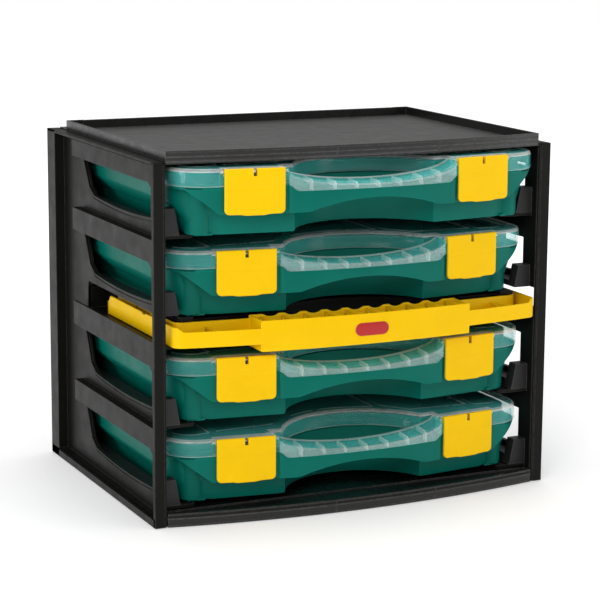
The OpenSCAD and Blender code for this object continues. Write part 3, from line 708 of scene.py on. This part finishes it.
def case_base(place):
    s = Shape(place)
    # height, half width, back inset, corner radius, front inset: up the outside, down the inside
    rings = [
        (0, 164.6, 2.8, 8.5, 2.6), (0.5, 165.6, 1.8, 10, 1.7), (1.6, 166.3, 1.4, 11, 1.4),
        (15, 169.8, 1.4, 12, 1.4), (17, 171, 1.4, 13, 1.4), (29, 181.8, 1.4, 28, 1.4),
        (31, 182.6, 1.4, 29.5, 1.4), (44, 182.6, 1.4, 30, 1.4), (44.2, 178.8, 5.2, 26, 5.2),
        (55.6, 178.8, 5.2, 26, 5.2), (56, 173.3, 5.7, 26, 5.7), (56, 177.1, 6.9, 24.5, 6.9),
        (55.6, 176.6, 7.4, 24, 7.4), (30, 176.6, 7.4, 24, 7.4), (17, 164.6, 7.4, 10, 7.4),
        (4, 161, 7.4, 8, 7.4), (2.4, 159.6, 8.8, 7, 8.8)]
    s.loft([box_ring(*ring) for ring in rings])
    # flange that carries the lid
    outer = inset(lid_outline(0, BAR_HALF + 1.5), 1.2)
    inner = [(x, y) for x, y, z in box_ring(0, 177, 7, 24, 7)]
    s.prism(outer, "z", SEAM - 2.2, SEAM, [inner])
    for side in (-1, 1):
        column = [(0.3, 11.0), (1.2, 12.0), (28, 12.3), (36, 13.2), (41, 15.5), (44.4, 18)]
        s.loft([[(side * (156.5 + 0.4 * (r - 12)) + r * math.cos(t), -119.3 + r * math.sin(t), z)
                 for t in span(0, 2 * math.pi * 35 / 36, 35)] for z, r in column])
    base_skirt(s)
    base_bar(s)
    for side in (-1, 1):
        foot = [(side * x, y) for x, y in ((147, -131), (147, -120), (163, -118), (163, -128.5))]
        s.prism(foot, "z", -0.15, 1.5)
        ridge = [latch_point(x, y) for x, y in ((-18, 0.4), (18, 0.4), (18, 1.8), (-18, 1.8))]
        s.prism([(side * x, y) for x, y in ridge], "z", 24.2, 26.8)
    for i in (0, 2, 4, 6):
        knuckle(s, i, -4.4)
    return s


def skirt_low(x):
    """Lower edge of the front skirt: diagonal near the corners, arched in the middle."""
    x = abs(x)
    arch_r = sag_radius(65, 11)
    if x < 65:
        return 31 - arch_r + math.sqrt(arch_r ** 2 - x * x)
    return 20 + max(0.0, (x - 146) * 26 / 34)


def skirt_path():
    """Right half of the skirt's outer line, from the front centre to its end at the corner."""
    radius = BAR_R - 1.2
    points = [(x, bar_y(x, radius)) for x in span(0, 82, 26)]
    points += [(83.2, bar_y(82, radius) + 0.9), (84.4, front_line(86) + 0.6)]
    points += [(x, front_line(x) + 1.2) for x in (87, 100, 115, 130, 143, 146, 149, 154)]
    corner = [(x, y) for x, y in inset(mirrored([(0, -170)] + corner_and_side(CASE_HALF, 34, 18)), 1.2)]
    return points + [(x, y) for x, y in corner[1:14] if 158 < x < 177 and y < 0]


def base_skirt(s):
    half = skirt_path()
    path = [(-x, y) for x, y in reversed(half[1:])] + half
    s.wall(path, 2.2, lambda x, y: min(skirt_low(x), seam_height(x) - 1.2), lambda x, y: seam_height(x), 0.5)


def base_bar(s):
    """Green lower half of the handle bar behind the skirt: top plate, back wall and ends."""
    back_r = BAR_R - BAR_DEPTH
    xs = span(-82, 82, 28)
    plate = [(x, bar_y(x, BAR_R - 2)) for x in xs] + [(x, bar_y(x, back_r)) for x in reversed(xs)]
    s.prism(plate, "z", BAR_SEAM - 2.2, BAR_SEAM)
    rings = []
    for x in xs:
        low = skirt_low(x)
        rings.append([(x, bar_y(x, r), z) for r, z in
                      ((back_r, BAR_SEAM - 1), (back_r, low + 0.6), (back_r + 0.6, low), (back_r + 1.6, low),
                       (back_r + 2.2, low + 0.6), (back_r + 2.2, BAR_SEAM - 1))])
    s.loft(rings)
    for side in (-1, 1):
        s.prism([(side * x, y) for x, y in ((80.6, -157), (82.8, -157), (82.8, -137), (80.6, -137))],
                "z", 20.4,
                BAR_SEAM)


# ---------------------------------------------------------------- latches

def case_latch(place, side):
    """Yellow flap: rounded plate with a notch at the top and a thumb arch at the bottom."""
    turn = Matrix.Translation((side * LATCH_X, LATCH_Y, 0)) @ Matrix.Rotation(side * LATCH_TURN, 4, "Z")
    s = Shape(place @ turn @ Matrix.Diagonal((side, 1, 1, 1)))
    half, low, high, back = LATCH_W / 2, 19.0, 60.8, -0.4
    crease, notch_z, notch_x, corner, edge_r = 43.0, 53.8, 1.7, 5.0, 1.1
    near = [0, 0.12, 0.35, 0.7, 1.1]
    us = [-half + d for d in near] + span(-half + 3, -notch_x, 12) + span(notch_x, half - 3, 12)
    us += [half - d for d in reversed(near)]
    zs = [low + d for d in near] + span(low + 2, crease - 1, 14) + [crease, crease + 1] + [crease + 5]
    zs += [notch_z, notch_z + 3] + [high - d for d in reversed(near)]

    def width_at(z):
        if z >= low + corner:
            return half
        return half - corner + math.sqrt(max(0.0, corner ** 2 - (low + corner - z) ** 2))

    def front_at(x, z, d):
        y = -2.6 + max(0.0, z - crease) * 0.02
        if d < edge_r:
            y += edge_r - math.sqrt(edge_r ** 2 - (edge_r - d) ** 2)
        arch = math.hypot(x / 17.5, (z - low) / 22)
        y -= 0.6 * smooth((1.0 - arch) / 0.07) * (0.3 + 0.7 * smooth((low + 16 - z) / 16))
        y += 0.28 * (1 - smooth(abs(z - crease) / 1.2))
        return max(y, -3.2)

    front, rear = {}, {}
    for j, z in enumerate(zs):
        w = width_at(z)
        for i, u in enumerate(us):
            x = u * w / half
            dip = 0.0 if z > low + 6 else (1 - smooth((14 - abs(x)) / 6)) * 0.9 * (1 - (z - low) / 6)
            d = min(half - abs(u), high - z, z - low) if z >= low + corner else min(
                half - abs(u), z - low, corner - math.hypot(max(0, abs(x) - half + corner), low + corner - z)
                if abs(x) > half - corner else z - low)
            front[i, j] = s.vert(x, front_at(x, z, max(0.0, d)), z + dip)
            rear[i, j] = s.vert(x, back, z + dip)

    def kept(i, j):
        if not (0 <= i < len(us) - 1 and 0 <= j < len(zs) - 1):
            return False
        return not (abs(us[i] + us[i + 1]) < 0.01 and zs[j] >= notch_z - 0.01)

    for j in range(len(zs) - 1):
        for i in range(len(us) - 1):
            if not kept(i, j):
                continue
            s.bm.faces.new((front[i, j], front[i + 1, j], front[i + 1, j + 1], front[i, j + 1]))
            s.bm.faces.new((rear[i, j], rear[i, j + 1], rear[i + 1, j + 1], rear[i + 1, j]))
            for (di, dj), (p, q) in (((-1, 0), ((i, j), (i, j + 1))), ((1, 0), ((i + 1, j + 1), (i + 1, j))),
                                     ((0, -1), ((i + 1, j), (i, j))), ((0, 1), ((i, j + 1), (i + 1, j + 1)))):
                if not kept(i + di, j + dj):
                    s.bm.faces.new((front[p], rear[p], rear[q], front[q]))
    # barrel on the pin, joined to the plate, and the hook at the lower edge
    barrel = arc_points((2.4, 57), 2.9, 0, 340, 17)
    for x0, x1 in ((-half + 0.3, -notch_x), (notch_x, half - 0.3)):
        s.prism(barrel, "x", x0, x1)
        s.prism([(-0.6, 54.6), (2.4, 54.6), (2.4, 59.4), (-0.6, 59.4)], "x", x0, x1)
    s.prism([(-0.6, 21.6), (0.8, 22.0), (0.8, 23.8), (-0.6, 23.8)], "x", -half + 10, half - 10)
    return s


# ---------------------------------------------------------------- carrying handle

HANDLE_HALF, ARM_W = 185.5, 11.0
HANDLE_FRONT, HANDLE_CORNER = -173.0, -155.0
HANDLE_BACK, HANDLE_BACK_END, ARM_BACK = -139.0, -130.0, 21.0
HANDLE_R = sag_radius(HANDLE_HALF, HANDLE_CORNER - HANDLE_FRONT)
HANDLE_BACK_R = sag_radius(HANDLE_HALF - ARM_W, HANDLE_BACK_END - HANDLE_BACK)
HANDLE_Z, HANDLE_TOP, HANDLE_LIP = 166.0, 184.5, 180.5
GRIP_HALF, GRIP_LOW, GRIP_HIGH = 106.0, 159.0, 187.5
SCALLOP = 21.2
BADGE_X = 1.0
BADGE_Z = 173


def handle_y(x):
    return HANDLE_FRONT + HANDLE_R - math.sqrt(HANDLE_R ** 2 - x * x)


def handle_back_y(x):
    return HANDLE_BACK + HANDLE_BACK_R - math.sqrt(HANDLE_BACK_R ** 2 - x * x)


def handle_outer():
    """Right half of the handle's outer line, from the front centre to the arm's end."""
    x = HANDLE_HALF - 10
    centre = HANDLE_FRONT + HANDLE_R - math.sqrt((HANDLE_R - 10) ** 2 - x * x)
    lean = math.degrees(math.asin(x / (HANDLE_R - 10)))
    points = [(u, handle_y(u)) for u in span(0, 104, 26) + [105.9, 106.1] + span(109, x - 3, 16)]
    points += arc_points((x, centre), 10, lean - 90, 0, 8)
    return points + [(HANDLE_HALF, y) for y in span(centre + 8, ARM_BACK - 3, 30)]


def handle_inner():
    """Right half of the handle's inner line, from the back centre to the arm's end."""
    x = HANDLE_HALF - ARM_W
    points = [(u, handle_back_y(u)) for u in span(0, 104, 78) + [105.9, 106.1] + span(109, x - 4, 14)]
    points += [(x - 1.2, handle_back_y(x - 2) + 1.2), (x, handle_back_y(x) + 4)]
    return points + [(x, y) for y in span(-118, ARM_BACK - 3, 26)]


def both_sides(half):
    return [(-x, y) for x, y in reversed(half[1:])] + half


def in_grip(x):
    return abs(x) < GRIP_HALF


def arm_round(y):
    """How far the top of an arm drops towards its rounded end."""
    t = min(7.0, max(0.0, y - (ARM_BACK - 10)))
    return 7 - math.sqrt(49 - t * t) if t < 7 else 7


def scallop_top(x):
    off = x - SCALLOP * round(max(-4, min(4, x / SCALLOP)))
    if not in_grip(x) or abs(off) > 8.8:
        return GRIP_HIGH
    return min(GRIP_HIGH, GRIP_HIGH + 10.5 - math.sqrt(169 - off * off))


def handle_low(x, y):
    return GRIP_LOW if in_grip(x) and y < -120 else HANDLE_Z


def carry_handle():
    s = Shape()
    outer, inner = both_sides(handle_outer()), both_sides(handle_inner())

    def front_top(x, y):
        if y > handle_y(HANDLE_HALF - 12) + 3:
            return HANDLE_TOP - arm_round(y) - (2.2 if -78 < y < -73 else 0)
        rise = smooth((abs(x) - 176) / 8)
        return GRIP_HIGH if in_grip(x) else HANDLE_LIP + (HANDLE_TOP - HANDLE_LIP) * rise

    def back_top(x, y):
        if y > -118:
            return HANDLE_TOP - arm_round(y) - (2.2 if -78 < y < -73 else 0)
        return scallop_top(x) if in_grip(x) else HANDLE_TOP

    s.wall(outer, 2.5, handle_low, front_top, 0.9)
    s.wall([(x, y) for x, y in reversed(inner)], 2.5, handle_low, back_top, 0.9)
    for side in (-1, 1):
        s.prism([(side * x, y) for x, y in ((HANDLE_HALF - ARM_W, 17), (HANDLE_HALF, 17), (HANDLE_HALF, 19),
                                            (HANDLE_HALF - 2, ARM_BACK), (HANDLE_HALF - ARM_W + 2, ARM_BACK),
                                            (HANDLE_HALF - ARM_W, 19))], "z", HANDLE_Z, HANDLE_TOP - 6)
    rim = [(x, y) for x, y in outer] + [(x, y) for x, y in reversed(inner)]
    rim = inset(rim, 0.4)
    s.prism(rim, "z", HANDLE_Z + 0.3, HANDLE_Z + 2)
    xs = span(-GRIP_HALF + 0.3, GRIP_HALF - 0.3, 40)
    floor = [(x, handle_y(x) + 0.4) for x in xs] + [(x, handle_back_y(x) - 0.4) for x in reversed(xs)]
    s.prism(floor, "z", GRIP_LOW + 0.2, GRIP_LOW + 2)
    handle_ribs(s)
    for side in (-1, 1):
        s.block((side * 180 - 3, -25, HANDLE_Z - 2.2), (side * 180 + 3, -19, HANDLE_Z + 1))
    return s


def handle_ribs(s):
    """Zigzag of thin ribs under the grip and slanted ribs beside it."""
    def rib(ax, bx, low, high):
        a = Vector((ax, handle_y(ax) + 1.2))
        b = Vector((bx, handle_back_y(bx) - 1.2))
        side = (b - a).normalized().orthogonal() * 0.9
        s.prism([tuple(a - side), tuple(a + side), tuple(b + side), tuple(b - side)], "z", low, high)

    for i in range(-5, 5):
        for step in (0, 1):
            rib((i + step) * SCALLOP, (i + 0.5) * SCALLOP, GRIP_LOW + 1, GRIP_HIGH - 1.6)
    for side in (-1, 1):
        rib(side * (GRIP_HALF - 0.9), side * (GRIP_HALF - 0.9), GRIP_LOW, GRIP_HIGH - 0.4)
        rib(side * 142, side * 148, HANDLE_Z + 1, HANDLE_LIP - 0.8)
        rib(side * 160, side * 148, HANDLE_Z + 1, HANDLE_LIP - 0.8)
        for y in (-95, -45):
            low, high = HANDLE_Z + 1, HANDLE_TOP - 1
            s.prism([(side * 184.5, y - 1), (side * 184.5, y + 1), (side * 175.5, y + 9),
                     (side * 175.5, y + 7)],
                    "z", low, high)


def handle_badge():
    """Blank pill-shaped badge on the curved front of the grip."""
    s = Shape()
    rings = []
    for drop, out in ((0, 0), (0, 0.45), (0.15, 0.68), (0.5, 0.8)):
        r = 6 - drop
        pill = arc_points((BADGE_X + 11, BADGE_Z), r, -90, 90, 12)
        pill += arc_points((BADGE_X - 11, BADGE_Z), r, 90, 270, 12)
        rings.append([(x, handle_y(x) - out, z) for x, z in pill])
    s.loft(rings)
    return s


# ---------------------------------------------------------------- assembly

def dress(node):
    """Gives a carried-over CAD node its material."""
    obj = frame["nodes"][node]
    obj.data.materials.clear()
    obj.data.materials.append(LOOKS[SLOT_OF[node]])


def body_of(node):
    return frame["nodes"][node]["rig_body"]


side_panel("side_panel_left", -1)
side_panel("side_panel_right", 1)
top_tray()
bottom_panel()
mid_shelf()
dress("back_panel")
carry_handle().piece("carry_handle", body_of("carry_handle"), "handle_yellow")
handle_badge().piece("handle_badge", body_of("handle_badge"), "badge_red")
for k in CASES:
    case = f"case_{k}_"
    place = Matrix.Translation((0, CASE_Y[k - 1], CASE_Z[k - 1]))
    case_base(place).piece(case + "base", body_of(case + "base"), "case_green")
    case_lid(place).piece(case + "lid", body_of(case + "lid"), "lid_clear", 0, CLEAR_EDGE)
    for name, side in (("latch_left", -1), ("latch_right", 1)):
        case_latch(place, side).piece(case + name, body_of(case + name), "latch_yellow")
    for node in ("dividers", "hinge_rod", "latch_pins"):
        dress(case + node)


# ---------------------------------------------------------------- floor, light and camera

def plane(name, size, material):
    bm = bmesh.new()
    bmesh.ops.create_grid(bm, x_segments=1, y_segments=1, size=size)
    mesh = bpy.data.meshes.new(name)
    bm.to_mesh(mesh)
    bm.free()
    obj = bpy.data.objects.new(name, mesh)
    mesh.materials.append(material)
    bpy.context.scene.collection.objects.link(obj)
    return obj


floor = plane("floor", 6.0, studio_floor("floor_white"))
floor.location.z = -0.0005


def area_light(name, place, target, size, power, colour=(1, 1, 1)):
    lamp = bpy.data.lights.new(name, "AREA")
    lamp.shape = "RECTANGLE"
    lamp.size, lamp.size_y = size
    lamp.energy = power
    lamp.color = colour
    obj = bpy.data.objects.new(name, lamp)
    obj.location = place
    obj.rotation_euler = (Vector(target) - Vector(place)).to_track_quat("-Z", "Y").to_euler()
    bpy.context.scene.collection.objects.link(obj)
    return obj


centre = (0, 0, 0.17)
area_light("key", (-1.5, -2.0, 1.6), centre, (1.2, 1.2), 25)
area_light("top", (0.1, 0.1, 2.0), centre, (1.6, 1.6), 24)
area_light("fill", (2.0, -1.6, 0.7), centre, (1.2, 1.2), 11)
area_light("left", (-2.1, -0.3, 0.5), centre, (0.8, 0.8), 12)

world = bpy.data.worlds.new("studio")
world.use_nodes = True
tree = world.node_tree
backdrop = tree.nodes["Background"]
backdrop.inputs["Color"].default_value = (1, 1, 1, 1)
backdrop.inputs["Strength"].default_value = 1.0
ambient = tree.nodes.new("ShaderNodeBackground")
ambient.inputs["Color"].default_value = (1, 1, 1, 1)
ambient.inputs["Strength"].default_value = 0.42
choose = tree.nodes.new("ShaderNodeMixShader")
tree.links.new(tree.nodes.new("ShaderNodeLightPath").outputs["Is Camera Ray"], choose.inputs[0])
tree.links.new(ambient.outputs[0], choose.inputs[1])
tree.links.new(backdrop.outputs[0], choose.inputs[2])
tree.links.new(choose.outputs[0], tree.nodes["World Output"].inputs["Surface"])
bpy.context.scene.world = world

# camera: viewing direction given by its azimuth, elevation and roll
azimuth = math.radians(-25.064)
elevation = math.radians(11.033)
roll = math.radians(0.419)
camera_data = bpy.data.cameras.new("camera")
camera_data.lens = 126
camera_data.sensor_width = 36
camera_data.shift_x = -0.0055
camera = bpy.data.objects.new("camera", camera_data)
bpy.context.scene.collection.objects.link(camera)
back = Vector((math.sin(azimuth) * math.cos(elevation), -math.cos(azimuth) * math.cos(elevation),
               math.sin(elevation)))
right = Vector((0, 0, 1)).cross(back).normalized()
up = back.cross(right)
right, up = (right * math.cos(roll) + up * math.sin(roll), up * math.cos(roll) - right * math.sin(roll))
turn = Matrix((right, up, back)).transposed()
camera.matrix_world = Matrix.Translation((-0.8522, -1.8482, 0.5655)) @ turn.to_4x4()
bpy.context.scene.camera = camera
bpy.context.scene.view_settings.view_transform = "Standard"
